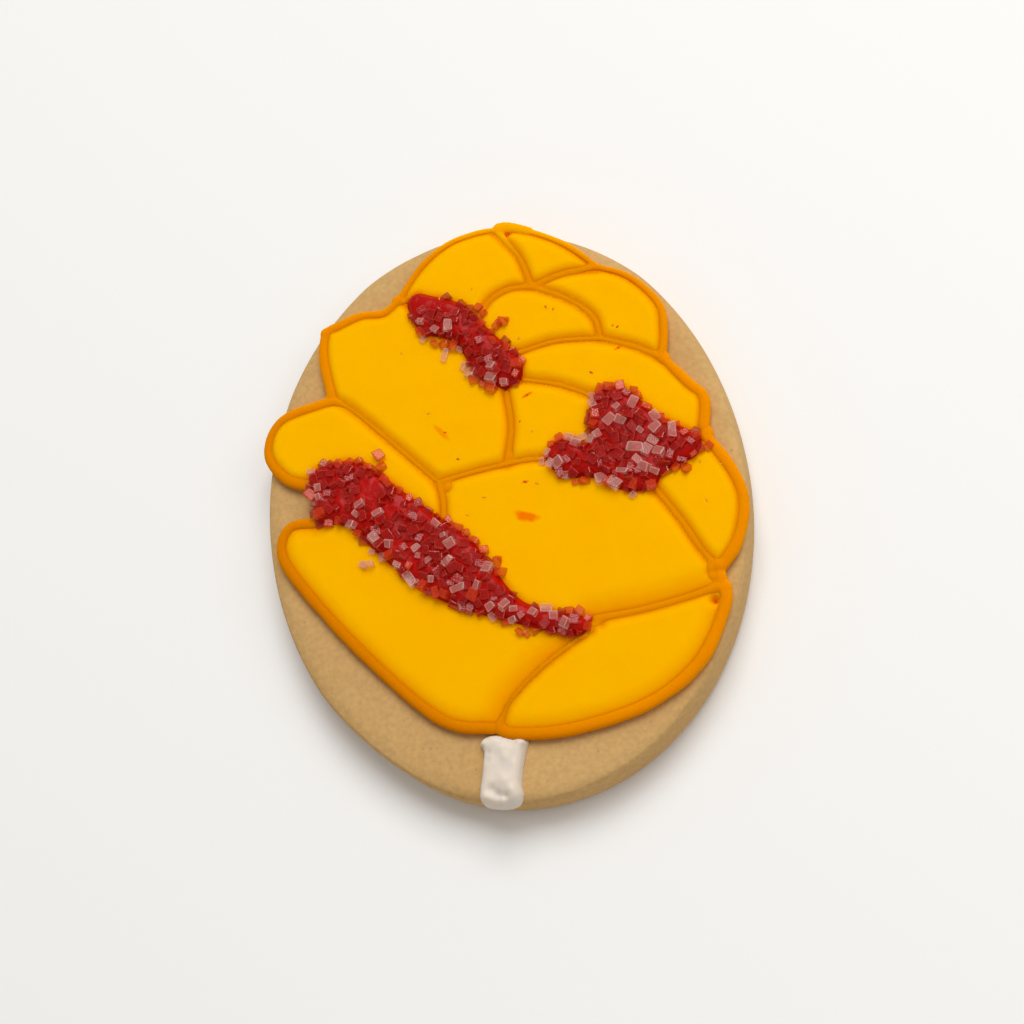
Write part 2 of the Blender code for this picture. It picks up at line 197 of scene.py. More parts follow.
# Each line of the design: where it starts, the points it passes, and where it ends.
LINES = {
    "rim_a": ("west_4", [(-4.2, 38.4), (0.3, 40.8), (4.5, 41.3)], "crown"),
    "rim_b": ("crown", [(12.4, 39.2), (17.3, 35.3)], "east_1"),
    "rim_c": ("east_1", [(25.3, 27.4), (28.5, 22.2), (28.4, 18.0)], "east_2"),
    "rim_f": ("east_2", [(30.2, 9.2), (31.8, 6.5)], "east_3"),
    "rim_j": ("east_3", [(33.2, -4.9), (33.7, -9.6), (31.7, -14.7)], "east_4"),
    "rim_i": ("east_4", [], "east_5"),
    "rim_l": (
        "east_5",
        [(28.2, -22.8), (23.1, -29.7), (15.1, -33.6), (4.5, -34.5), (-3.2, -33.3)],
        "foot",
    ),
    "rim_k": (
        "foot",
        [(-13.4, -28.8), (-22.6, -17.2), (-30.3, -4.5), (-32.4, 1.2), (-30.5, 4.5)],
        "west_1",
    ),
    "rim_h": ("west_2", [(-30.0, 12.1), (-32.2, 16.8), (-29.5, 21.1)], "west_3"),
    "rim_e": (
        "west_3",
        [(-21.3, 28.8), (-20.3, 32.8), (-18.2, 33.3), (-14.5, 33.8), (-11.0, 33.1)],
        "west_4",
    ),
    "a_b": ("crown", [(10.4, 36.0)], "heart_1"),
    "b_c": ("heart_1", [(16.4, 31.1)], "east_1"),
    "a_d": ("upper_east", [(4.9, 30.3), (8.0, 31.2)], "heart_1"),
    "c_d": ("heart_1", [(16.2, 27.0), (19.2, 23.2)], "heart_2"),
    "d_f": ("upper_low", [(13.2, 21.1)], "heart_2"),
    "c_f": ("heart_2", [(24.2, 16.8)], "east_2"),
    "a_e": ("west_4", [], "upper_head"),
    "e_g": ("upper_west", [(4.3, 10.2)], "heart_3"),
    "f_g": ("upper_tip", [(12.2, 14.5)], "star_north"),
    "e_i": ("heart_3", [(-2.3, 5.1)], "heart_4"),
    "g_i": ("heart_3", [(5.5, 4.7)], "star_west"),
    "e_h": ("west_3", [(-18.2, 19.4), (-12.4, 11.6)], "heart_4"),
    "h_i": ("heart_4", [(-7.5, 2.2)], "lower_bend"),
    "i_j": ("star_south", [(24.9, -10.0), (26.7, -14.8)], "east_4"),
    "i_l": ("lower_tip_1", [(16.7, -20.9), (23.4, -20.8)], "east_5"),
    "k_l": ("lower_tip_2", [(1.8, -25.2), (-3.3, -28.6)], "foot"),
    "f_j": ("star_east", [], "east_3"),
    "upper_a": (
        "upper_head",
        [(-6.4, 34.5), (-5.2, 34.6), (-3.6, 33.6), (-1.1, 32.2), (1.3, 30.4)],
        "upper_east",
    ),
    "upper_d": ("upper_east", [(5.0, 24.0)], "upper_low"),
    "upper_f": ("upper_low", [(7.8, 18.8)], "upper_tip"),
    "upper_g": ("upper_tip", [], "upper_west"),
    "upper_e": (
        "upper_west",
        [(1.5, 18.7), (0.3, 21.3), (-0.7, 24.6), (-2.6, 26.6), (-5.4, 28.0), (-6.7, 30.6)],
        "upper_head",
    ),
    "star_f": ("star_east", [(25.0, 5.8), (21.8, 10.5), (19.6, 11.9)], "star_north"),
    "star_g": (
        "star_north",
        [(15.7, 8.7), (15.4, 6.6), (15.4, 4.7), (14.1, 4.5), (12.5, 5.8), (10.3, 6.1)],
        "star_west",
    ),
    "star_i": (
        "star_west",
        [(9.4, 1.7), (11.4, 0.2), (14.0, -0.3), (17.0, -2.8), (19.6, -4.2)],
        "star_south",
    ),
    "star_j": ("star_south", [(24.6, -2.3), (29.0, -1.5)], "star_east"),
    "lower_h": ("west_2", [(-25.8, 11.8), (-19.3, 11.5), (-13.6, 5.6)], "lower_bend"),
    "lower_i": ("lower_bend", [(-4.3, -5.2), (0.4, -14.9), (5.9, -18.5)], "lower_tip_1"),
    "lower_l": ("lower_tip_1", [], "lower_tip_2"),
    "lower_k": ("lower_tip_2", [(0.3, -18.6), (-10.3, -12.1), (-17.0, -4.5), (-21.6, 1.9)], "west_1"),
    "lower_end": ("west_1", [], "west_2"),
}

# The lines round each petal, in turn.
PETALS = {
    "petal_top_left": ["rim_a", "a_b", "a_d", "upper_a", "a_e"],
    "petal_top_right": ["rim_b", "b_c", "a_b"],
    "petal_upper_right": ["rim_c", "c_f", "c_d", "b_c"],
    "petal_heart": ["c_d", "d_f", "upper_d", "a_d"],
    "petal_left_large": ["rim_e", "a_e", "upper_e", "e_g", "e_i", "e_h"],
    "petal_right_arch": ["rim_f", "f_j", "star_f", "f_g", "upper_f", "d_f", "c_f"],
    "petal_middle": ["f_g", "star_g", "g_i", "e_g", "upper_g"],
    "petal_left_small": ["rim_h", "e_h", "h_i", "lower_h"],
    "petal_centre": ["g_i", "star_i", "i_j", "rim_i", "i_l", "lower_i", "h_i", "e_i"],
    "petal_right": ["rim_j", "i_j", "star_j", "f_j"],
    "petal_lower_left": ["rim_k", "lower_k", "k_l"],
    "petal_lower_right": ["rim_l", "k_l", "lower_l", "i_l"],
}

# The lines round each red streak.
STREAKS = {
    "red_streak_upper": ["upper_a", "upper_d", "upper_f", "upper_g", "upper_e"],
    "red_streak_star": ["star_f", "star_g", "star_i", "star_j"],
    "red_streak_lower": ["lower_h", "lower_i", "lower_l", "lower_k", "lower_end"],
}

# Each stroke of the piping bag, as lines piped without a stop. A minus runs the line backwards.
STROKES = [
    ["rim_a", "a_b"],
    ["rim_b"],
    ["b_c", "rim_c"],
    ["a_d", "c_d"],
    ["d_f", "c_f", "rim_f"],
    ["f_g"],
    ["e_g"],
    ["rim_e", "a_e"],
    ["rim_h", "e_h"],
    ["-h_i", "-e_i", "g_i"],
    ["f_j", "rim_j", "-i_j"],
    ["rim_i"],
    ["i_l", "rim_l", "-k_l"],
    ["rim_k"],
]

# Slopes of the flood that run wider than the rest, in mm from the piped line.
WIDE_SLOPES = {
    ("petal_lower_left", "k_l"): 4.6,
    ("petal_lower_left", "rim_k"): 2.6,
    ("petal_lower_right", "rim_l"): 2.9,
    ("petal_centre", "i_l"): 4.2,
}

# Seams that are piped thinner than the rest.
SLIM_SEAMS = ["e_h", "f_g", "g_i", "e_i", "k_l", "d_f"]

# Pits in the flood: the place, how far they reach and how deep they are, in mm. Their colour deepens too,
# partly for the thinner layer and partly as painted shade in the hollow.
PITS = [
    ((9.5, 40.0), 0.5, 0.7),
    ((26.8, -22.2), 0.55, 1.7),
    ((27.2, -18.2), 0.8, 0.4),
    ((9.6, -21.9), 0.9, 0.4),
    ((11.2, -21.4), 0.8, 0.35),
    ((-6.4, 3.8), 0.8, 0.35),
    ((3.2, 6.1), 0.7, 0.35),
]

# Extra dabs of stiff icing where strokes start and end: the place, the size and the crest, in mm.
DABS = [
    ((8.4, 41.45), 1.0, 1.75),
    ((9.1, 41.4), 1.0, 1.76),
    ((9.8, 41.15), 0.98, 1.74),
    ((10.5, 40.8), 0.96, 1.71),
    ((11.2, 40.4), 0.92, 1.68),
    ((11.9, 40.0), 0.86, 1.66),
    ((12.6, 39.55), 0.8, 1.64),
    ((28.6, -17.5), 1.1, 1.72),
    ((28.6, -20.7), 1.0, 1.66),
    ((27.4, -17.5), 1.1, 1.5),
    ((27.3, -18.8), 1.0, 1.45),
    ((-6.4, 3.9), 1.1, 1.5),
    ((3.1, 6.0), 1.0, 1.45),
    ((-20.3, 32.9), 1.05, 1.68),
    ((-8.6, 34.6), 1.1, 1.6),
    ((31.0, 1.4), 1.1, 1.6),
    ((27.6, 14.0), 1.1, 1.6),
    ((10.9, -20.8), 0.85, 1.36),
    ((10.2, -21.3), 0.9, 1.38),
    ((9.5, -21.9), 0.9, 1.38),
    ((8.7, -22.5), 0.85, 1.38),
    ((5.6, 5.0), 1.05, 1.35),
]


def linear(code):
    """A colour as the shader wants it, from an sRGB hex code."""
    parts = [int(code[k : k + 2], 16) / 255 for k in (1, 3, 5)]
    return (*[c / 12.92 if c <= 0.04045 else ((c + 0.055) / 1.055) ** 2.4 for c in parts], 1.0)


def node(tree, kind, inputs=(), **settings):
    """Adds a node with its settings, and fills its inputs with links or values."""
    made = tree.nodes.new(kind)
    for name, value in settings.items():
        setattr(made, name, value)
    for name, value in dict(inputs).items():
        socket = made.inputs[name]
        if isinstance(value, bpy.types.NodeSocket):
            tree.links.new(value, socket)
        else:
            socket.default_value = value
    return made


def scale_of(size):
    """The scale of a pattern whose features are this many mm wide."""
    return 1 / (size * MM)


def settle(made, values):
    """Sets a node's inputs to what is the same all over."""
    for name, value in values.items():
        made.inputs[name].default_value = value


def new_finish(name):
    """A material with its tree, its Principled shader and its Object coordinates."""
    material = bpy.data.materials.new(name)
    material.use_nodes = True
    tree = material.node_tree
    shader = tree.nodes["Principled BSDF"]
    place = node(tree, "ShaderNodeTexCoord").outputs["Object"]
    return material, tree, shader, place


def curve_through(points, pitch):
    """Points along a smooth curve through the given ones, about one every pitch, without the last."""
    knots = [Vector(p) for p in points]
    knots = [2 * knots[0] - knots[1]] + knots + [2 * knots[-1] - knots[-2]]
    found = []
    for before, start, end, after in zip(knots, knots[1:], knots[2:], knots[3:]):
        steps = max(1, round((end - start).length / pitch))
        for k in range(steps):
            t = k / steps
            found.append(
                0.5
                * (
                    2 * start
                    + (end - before) * t
                    + (2 * before - 5 * start + 4 * end - after) * t**2
                    + (3 * start - before - 3 * end + after) * t**3
                )
            )
    return found


@functools.cache
def line_points(name, pitch=0.5):
    """The points of one line of the design, both ends with them."""
    start, passed, end = LINES[name]
    route = [MEETS[start], *passed, MEETS[end]]
    return np.array([(p.x, p.y) for p in curve_through(route, pitch)] + [MEETS[end]])


def outline(names):
    """The closed outline that the named lines make, running anticlockwise."""
    parts = []
    first, _, last = LINES[names[0]]
    following = {LINES[names[1]][0], LINES[names[1]][2]}
    here = first if last in following else last
    for name in names:
        start, _, end = LINES[name]
        points = line_points(name)
        forward = start == here
        parts.append(points[:-1] if forward else points[:0:-1])
        here = end if forward else start
    flat = np.concatenate(parts)
    turned = np.roll(flat, -1, axis=0)
    area = (flat[:, 0] * turned[:, 1] - turned[:, 0] * flat[:, 1]).sum()
    return flat if area > 0 else flat[::-1]


def nearest_on(starts, ends, places):
    """For each place, the nearest point on the given sides, and how far it is."""
    along = ends - starts
    share = ((places[:, None] - starts) * along).sum(2) / np.maximum((along**2).sum(1), 1e-9)
    points = starts + np.clip(share, 0, 1)[..., None] * along
    far = np.linalg.norm(places[:, None] - points, axis=2)
    best = far.argmin(1)
    rows = np.arange(len(places))
    return points[rows, best], far[rows, best]


def depth_in(flat, places):
    """How deep each place is inside the closed outline, negative outside it."""
    ends = np.roll(flat, -1, axis=0)
    _, far = nearest_on(flat, ends, places)
    spans = (flat[:, 1] > places[:, None, 1]) != (ends[:, 1] > places[:, None, 1])
    rise = np.where(ends[:, 1] == flat[:, 1], 1e-12, ends[:, 1] - flat[:, 1])
    crossing = flat[:, 0] + (places[:, None, 1] - flat[:, 1]) / rise * (ends[:, 0] - flat[:, 0])
    inside = (spans & (places[:, None, 0] < crossing)).sum(1) % 2 == 1
    return np.where(inside, far, -far)


def from_line(points, places):
    """How far each place is from an open line."""
    return nearest_on(points[:-1], points[1:], places)[1]


def biscuit_top(places):
    """The height of the biscuit's upper side: flat, with a shoulder that is crisper on the lower right."""
    radius = np.hypot(places[:, 0] / (WIDTH / 2), places[:, 1] / (LENGTH / 2))
    fall = np.clip(1 - (1 - radius) * WIDTH / 2 / SHOULDER_WIDTH, 0, 1)
    crisp = np.clip((0.8 * places[:, 0] - 0.6 * places[:, 1]) / (WIDTH / 2), 0, 1)
    return THICK - SHOULDER_DROP * fall ** (2.5 + 4 * crisp)


def icing_rest(places):
    """The level that the icing builds on: it fills half of the shoulder's fall."""
    return (THICK + biscuit_top(places)) / 2


def waves(places, size, seed):
    """Smooth chance unevenness between -1 and 1, with swells of the given size in mm."""
    return np.array([noise.noise((x / size, y / size, seed)) for x, y in places])


def flat_places(verts):
    """Where each vertex lies, seen from above."""
    return np.array([v.co.xy[:] for v in verts])


def lift(verts, heights):
    """Moves each vertex to its height."""
    for v, z in zip(verts, heights):
        v.co.z = z


def heap(flat, places, shoulder):
    """How far a rounded heap has risen at each place: none at its edge, fully a shoulder's width inside."""
    depth = np.clip(depth_in(flat, places), 0, None)
    return np.sqrt(np.clip(1 - (1 - np.clip(depth / shoulder, 0, 1)) ** 2, 0, 1))


def finished(name, bm, material, smooth=60):
    """The mesh as a piece that rides on the cookie."""
    mesh = bpy.data.meshes.new(name)
    bm.to_mesh(mesh)
    bm.free()
    mesh.transform(Matrix.Scale(MM, 4))
    for one in material if isinstance(material, list) else [material]:
        mesh.materials.append(one)
    mesh.shade_smooth()
    if smooth < 180:
        mesh.set_sharp_from_angle(angle=math.radians(smooth))
    piece = bpy.data.objects.new(name, mesh)
    bpy.context.scene.collection.objects.link(piece)
    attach(piece, "root")
    return piece


def cut_sheet(flat, pitch):
    """A fine flat grid cut to an outline, with its edge moved onto the outline."""
    low, high = flat.min(0) - pitch, flat.max(0) + pitch
    span, middle = high - low, (low + high) / 2
    columns, rows = (int(math.ceil(side / pitch)) for side in span)
    spread = Matrix.Translation((*middle, 0)) @ Matrix.Diagonal((*span, 1, 1))
    bm = bmesh.new()
    bmesh.ops.create_grid(bm, x_segments=columns, y_segments=rows, size=0.5, matrix=spread)
    depth = depth_in(flat, flat_places(bm.verts))
    outside = [v for v, d in zip(bm.verts, depth) if d < -0.3 * pitch]
    bmesh.ops.delete(bm, geom=outside, context="VERTS")
    spikes = [v for v in bm.verts if len(v.link_faces) < 2]
    bmesh.ops.delete(bm, geom=spikes, context="VERTS")
    rim = [v for v in bm.verts if v.is_boundary]
    nearest, _ = nearest_on(flat, np.roll(flat, -1, axis=0), flat_places(rim))
    for v, place in zip(rim, nearest):
        v.co.xy = place
    return bm


def close_below(bm):
    """Gives a raised sheet its sides, and a foot sunk a little into the biscuit."""
    rim = [edge for edge in bm.edges if edge.is_boundary]
    walls = bmesh.ops.extrude_edge_only(bm, edges=rim)
    feet = [item for item in walls["geom"] if isinstance(item, bmesh.types.BMVert)]
    lift(feet, biscuit_top(flat_places(feet)) - ICING_SINK)
    bmesh.ops.holes_fill(bm, edges=[edge for edge in bm.edges if edge.is_boundary])
    bmesh.ops.recalc_face_normals(bm, faces=bm.faces[:])


def icing_colour(tree, place, colour, deep, edge):
    """Dried coloured icing: an even colour that deepens by the given share, where the layer thins and, on
    the flood, where painted shade falls, with faint clouds.
    """
    broad = {"Vector": place, "Scale": scale_of(ICING_CLOUDS), "Detail": 3.0}
    clouds = node(tree, "ShaderNodeTexNoise", broad).outputs["Fac"]
    faint = {"Value": clouds, "From Min": 0.4, "From Max": 0.75, "To Min": 0.0, "To Max": 0.08}
    cloud = node(tree, "ShaderNodeMapRange", faint)
    both = {0: edge, 1: cloud.outputs["Result"]}
    share = node(tree, "ShaderNodeMath", both, operation="ADD", use_clamp=True).outputs[0]
    deepened = {"Factor": share, "A": linear(colour), "B": linear(deep)}
    return node(tree, "ShaderNodeMix", deepened, data_type="RGBA").outputs["Result"]


def icing_surface(tree, shader, place):
    """The satin skin of dried royal icing: soft dimples a few mm wide, and a fine sugar grain."""
    wide = {"Vector": place, "Scale": scale_of(ICING_DIMPLES), "Detail": 2.0}
    tight = {"Vector": place, "Scale": scale_of(ICING_GRAIN), "Detail": 2.0}
    dimples = node(tree, "ShaderNodeTexNoise", wide).outputs["Fac"]
    grain = node(tree, "ShaderNodeTexNoise", tight).outputs["Fac"]
    soft = node(tree, "ShaderNodeBump", {"Height": dimples, "Strength": 0.25, "Distance": 0.4 * MM})
    grainy = {"Height": grain, "Strength": 0.12, "Distance": 0.1 * MM, "Normal": soft.outputs["Normal"]}
    bump = node(tree, "ShaderNodeBump", grainy)
    tree.links.new(bump.outputs["Normal"], shader.inputs["Normal"])
    settle(shader, {"Roughness": 0.5, "Specular IOR Level": 0.0, "Subsurface Weight": 0.4})
    settle(shader, {"Subsurface Radius": (1.0, 0.5, 0.1), "Subsurface Scale": 2 * MM})


# Faint orange smudges left by wet gel: the place, the turn, the half sizes and the strength.
SMUDGES = [
    ((3.9, -3.6), -0.5, (1.9, 0.8), 0.9),
    ((-5.8, 12.2), -1.0, (1.9, 0.45), 0.5),
    ((7.6, 14.1), 0.25, (0.9, 0.25), 0.9),
    ((21.8, 17.3), 0.3, (0.8, 0.25), 0.7),
    ((4.8, 1.4), 0.0, (0.7, 0.25), 0.6),
]


def flooded_icing():
    """Thin royal icing, flooded and dried: a puffed satin skin that is deeper orange along its thin edges,
    partly for the thinner layer and partly as painted shade in the creases and down the slopes.

    It is red where gel bled into it, and has faint orange smudges.
    """
    material, tree, shader, place = new_finish("flooded_royal_icing")
    # The "thin" share deepens the colour: partly for the thinner layer, partly painted shade in the creases
    # and down the slopes.
    edge = node(tree, "ShaderNodeAttribute", attribute_name="thin").outputs["Fac"]
    stain = node(tree, "ShaderNodeAttribute", attribute_name="stain").outputs["Fac"]
    colour = icing_colour(tree, place, "#FFB600", "#EE8400", edge)
    stained = {"Factor": stain, "A": colour, "B": linear("#EE4A00")}
    colour = node(tree, "ShaderNodeMix", stained, data_type="RGBA").outputs["Result"]
    torn = {"Vector": place, "Scale": scale_of(SMUDGE_EDGES), "Detail": 3.0}
    ragged = node(tree, "ShaderNodeTexNoise", torn).outputs["Fac"]
    for where, turn, size, strength in SMUDGES:
        moved = {"Vector": place, "Location": [-c * MM for c in (*where, 0)]}
        spot = node(tree, "ShaderNodeMapping", moved).outputs["Vector"]
        turned = {"Vector": spot, "Rotation": (0, 0, -turn)}
        lying = node(tree, "ShaderNodeMapping", turned).outputs["Vector"]
        narrowed = {0: lying, 1: (1 / (size[0] * MM), 1 / (size[1] * MM), 0)}
        shaped = node(tree, "ShaderNodeVectorMath", narrowed, operation="MULTIPLY").outputs["Vector"]
        far = node(tree, "ShaderNodeVectorMath", {0: shaped}, operation="LENGTH").outputs["Value"]
        rough = node(tree, "ShaderNodeMath", {0: far, 1: ragged}, operation="ADD").outputs[0]
        faded = {"Value": rough, "From Min": 1.1, "From Max": 1.6, "To Min": strength, "To Max": 0.0}
        mask = node(tree, "ShaderNodeMapRange", faded).outputs["Result"]
        smudged = {"Factor": mask, "A": colour, "B": linear("#F57000")}
        colour = node(tree, "ShaderNodeMix", smudged, data_type="RGBA").outputs["Result"]
    tree.links.new(colour, shader.inputs["Base Color"])
    icing_surface(tree, shader, place)
    return material


# How the piping's colour drifts: the way, where it starts and is full in mm, the most of it, and the tone.
# It pales to the flood's yellow at the top of the flower, and is browner on the lower left, which is
# painted shade on the side away from the light.
PIPING_TINTS_AND_PAINTED_SHADE = [
    ((0.3, 0.95), 37.0, 40.5, 0.8, "#FCAC00"),
    ((-0.85, -0.5), 8.0, 28.0, 0.42, "#B26100"),
]


def piped_icing():
    """Stiff royal icing from a round tip: the same satin skin, a deeper orange than the flood, paler at the
    top of the flower, with painted shade on the lower left.
    """
    material, tree, shader, place = new_finish("piped_royal_icing")
    colour = icing_colour(tree, place, "#EE9200", "#E07C00", 0.3)
    # The second drift is painted shade: browner on the lower left, away from the light.
    for way, start, end, most, tone in PIPING_TINTS_AND_PAINTED_SHADE:
        along = {0: place, 1: (way[0] / MM, way[1] / MM, 0)}
        reach = node(tree, "ShaderNodeVectorMath", along, operation="DOT_PRODUCT").outputs["Value"]
        grown = {"Value": reach, "From Min": start, "From Max": end, "To Min": 0.0, "To Max": most}
        share = node(tree, "ShaderNodeMapRange", grown).outputs["Result"]
        tinted_and_shaded = {"Factor": share, "A": colour, "B": linear(tone)}
        colour = node(tree, "ShaderNodeMix", tinted_and_shaded, data_type="RGBA").outputs["Result"]
    tree.links.new(colour, shader.inputs["Base Color"])
    icing_surface(tree, shader, place)
    return material


def stiff_white_icing():
    """White royal icing, daubed on thick: the same satin skin, a little glossier."""
    material, tree, shader, place = new_finish("stiff_white_royal_icing")
    icing_surface(tree, shader, place)
    settle(shader, {"Base Color": linear("#E2D5C6"), "Specular IOR Level": 0.3})
    return material


def wet_gel():
    """Clear red piping gel: deep red and glossy, soft with light inside."""
    material, tree, shader, place = new_finish("red_piping_gel")
    slow = {"Vector": place, "Scale": scale_of(GEL_STREAKS), "Detail": 3.0}
    streaks = node(tree, "ShaderNodeTexNoise", slow).outputs["Fac"]
    streaked = {"Factor": streaks, "A": linear("#980402"), "B": linear("#C40E04")}
    colour = node(tree, "ShaderNodeMix", streaked, data_type="RGBA").outputs["Result"]
    tree.links.new(colour, shader.inputs["Base Color"])
    quick = {"Vector": place, "Scale": scale_of(GEL_RIPPLES), "Detail": 2.0}
    ripples = node(tree, "ShaderNodeTexNoise", quick).outputs["Fac"]
    bump = node(tree, "ShaderNodeBump", {"Height": ripples, "Strength": 0.5, "Distance": 0.4 * MM})
    tree.links.new(bump.outputs["Normal"], shader.inputs["Normal"])
    settle(shader, {"Roughness": 0.3, "Specular IOR Level": 0.12, "Subsurface Weight": 0.3})
    settle(shader, {"Subsurface Radius": (1.0, 0.15, 0.1), "Subsurface Scale": 1.5 * MM})
    return material


# The sugar's finishes: the name, the colour and body of a crystal, and those of its edges, whose paler
# colour is a painted highlight where the edges catch the light.
SUGAR_FINISHES = [
    ("dyed_sugar", "#B00A04", 0.48, "#C8341C", 0.56),
    ("bright_sugar", "#E03A08", 0.5, "#D84412", 0.56),
    ("clear_sugar", "#DC9C90", 0.31, "#F0BCAC", 0.48),
]


def sanding_sugar(name, colour, body):
    """Coarse sanding sugar, tinted by dye: glossy, with as much body as it isn't clear."""
    material, tree, shader, place = new_finish(name)
    settle(shader, {"Base Color": linear(colour), "Alpha": body, "Roughness": 0.13, "IOR": 1.5})
    worn = {"Vector": place, "Scale": scale_of(SUGAR_WEAR), "Detail": 2.0}
    wear = node(tree, "ShaderNodeTexNoise", worn).outputs["Fac"]
    bump = node(tree, "ShaderNodeBump", {"Height": wear, "Strength": 0.1, "Distance": 0.2 * MM})
    tree.links.new(bump.outputs["Normal"], shader.inputs["Normal"])
    return material


def baked_dough():
    """Pale sugar dough, baked dry: a matte fine crumb with a few darker grains, and small pores painted as
    dark dots of shade.
    """
    material, tree, shader, place = new_finish("baked_sugar_dough")
    slow = {"Vector": place, "Scale": scale_of(DOUGH_CLOUDS), "Detail": 4.0}
    clouds = node(tree, "ShaderNodeTexNoise", slow).outputs["Fac"]
    clouded = {"Factor": clouds, "A": linear("#C3985D"), "B": linear("#D0A96E")}
    toned = node(tree, "ShaderNodeMix", clouded, data_type="RGBA").outputs["Result"]
    tight = {"Vector": place, "Scale": scale_of(DOUGH_GRAIN), "Detail": 3.0}
    grain = node(tree, "ShaderNodeTexNoise", tight).outputs["Fac"]
    around = {"Value": grain, "From Min": 0.3, "From Max": 0.7, "To Min": 0.9, "To Max": 1.06}
    light = node(tree, "ShaderNodeMapRange", around).outputs["Result"]
    grained = {0: toned, "Scale": light}
    shaded = node(tree, "ShaderNodeVectorMath", grained, operation="SCALE").outputs["Vector"]
    # Small pores, painted as dark dots: painted shade in the holes.
    spread = {"Vector": place, "Scale": scale_of(DOUGH_PORES), "Randomness": 1.0}
    from_pore = node(tree, "ShaderNodeTexVoronoi", spread).outputs["Distance"]
    small = {"Value": from_pore, "From Min": 0.05, "From Max": 0.12, "To Min": 0.3, "To Max": 0.0}
    pore_shade = node(tree, "ShaderNodeMapRange", small).outputs["Result"]
    pore_shaded = {"Factor": pore_shade, "A": shaded, "B": linear("#8F6436")}
    colour = node(tree, "ShaderNodeMix", pore_shaded, data_type="RGBA").outputs["Result"]
    tree.links.new(colour, shader.inputs["Base Color"])
    coarse = {"Vector": place, "Scale": scale_of(DOUGH_CRUMB), "Detail": 5.0}
    crumb = node(tree, "ShaderNodeTexNoise", coarse).outputs["Fac"]
    bump = node(tree, "ShaderNodeBump", {"Height": crumb, "Strength": 0.5, "Distance": 0.3 * MM})
    tree.links.new(bump.outputs["Normal"], shader.inputs["Normal"])
    settle(shader, {"Roughness": 0.85, "Specular IOR Level": 0.2})
    return material


def dry_specks(name, colour):
    """Specks dried onto the icing, of browned crumb or of spilt gel: matte."""
    material, _, shader, _ = new_finish(name)
    settle(shader, {"Base Color": linear(colour), "Roughness": 0.9})
    return material


# Where the hand-cut oval strays from a true one: the turn in degrees, and how far out it stands in mm.
OVAL_TURNS = [0, 15, 32, 41, 51, 63, 80, 98, 112, 121, 140, 180, 208, 222, 232, 243, 255, 300, 330, 360]
OVAL_STRAYS = [0.04, 0.2, 0.4, 0.55, 0.3, 0.1, 0, -0.2, 0, -0.2]
OVAL_STRAYS += [-0.05, -0.12, -0.05, -0.5, -0.45, -0.1, 0.03, 0, 0.04, 0.04]

# The levels up the biscuit's side, as how far in and how high each lies, and those over its top, as how
# far in, all in mm.
SIDE_TOP = THICK - SHOULDER_DROP
SIDE_LEVELS = [(0.95, 0.0), (0.45, 0.3), (0.2, 0.9), (0.06, 1.7), (0.03, 2.6), (0.03, 3.6), (0.04, 4.5)]
SIDE_LEVELS += [(0.1, SIDE_TOP - 0.6), (0.2, SIDE_TOP - 0.15)]
TOP_LEVELS = [0.4, 0.65, 0.95, 1.3, 1.7, 2.2, 2.7, 3.3, 4.0, 5.0, 6.5, 9.0, 14.0]


def make_biscuit(material):
    """The oval slab: a tucked foot, an upright side and a soft shoulder, all a little uneven."""
    bm = bmesh.new()
    made = bmesh.ops.create_circle(bm, cap_ends=True, segments=BISCUIT_CORNERS, radius=1.0)
    top = made["verts"][0].link_faces[0]
    for level, (inset, z) in enumerate(SIDE_LEVELS + [(inset, None) for inset in TOP_LEVELS]):
        if level:
            bmesh.ops.inset_individual(bm, faces=[top], thickness=0.0)
        for k, corner in enumerate(top.verts):
            turn = math.tau * k / BISCUIT_CORNERS
            across, along = math.cos(turn), math.sin(turn)
            stray = float(np.interp(math.degrees(turn), OVAL_TURNS, OVAL_STRAYS))
            wander = SIDE_WANDER * (1 + noise.noise((3 * across, 3 * along, level / 5)))
            share = 1 - (inset + wander * (0 < level) - stray) / (WIDTH / 2)
            place = np.array([[WIDTH / 2 * share * across, LENGTH / 2 * share * along]])
            height = z
            if z is None:
                dip = TOP_WANDER * (1 + noise.noise((place[0, 0] / 4, place[0, 1] / 4, 2.0)))
                height = biscuit_top(place)[0] - dip
            corner.co = (*place[0], height)
    bmesh.ops.edgeloop_fill(bm, edges=[edge for edge in bm.edges if edge.is_boundary])
    bmesh.ops.recalc_face_normals(bm, faces=bm.faces[:])
    piece = finished("baked_biscuit", bm, material)
    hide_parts("biscuit")


def is_piped(name):
    """Whether a line is piped: those round a red streak aren't."""
    return name.split("_")[0] not in ("upper", "star", "lower")


def rim_thinning(places):
    """How much thinner the rim is piped at each place: most at the top of the flower."""
    outward = places / np.linalg.norm(places, axis=1)[:, None]
    return PIPE_THINNING * np.clip((outward @ TOPWARD - THINNING_START) / THINNING_SPAN, 0, 1)


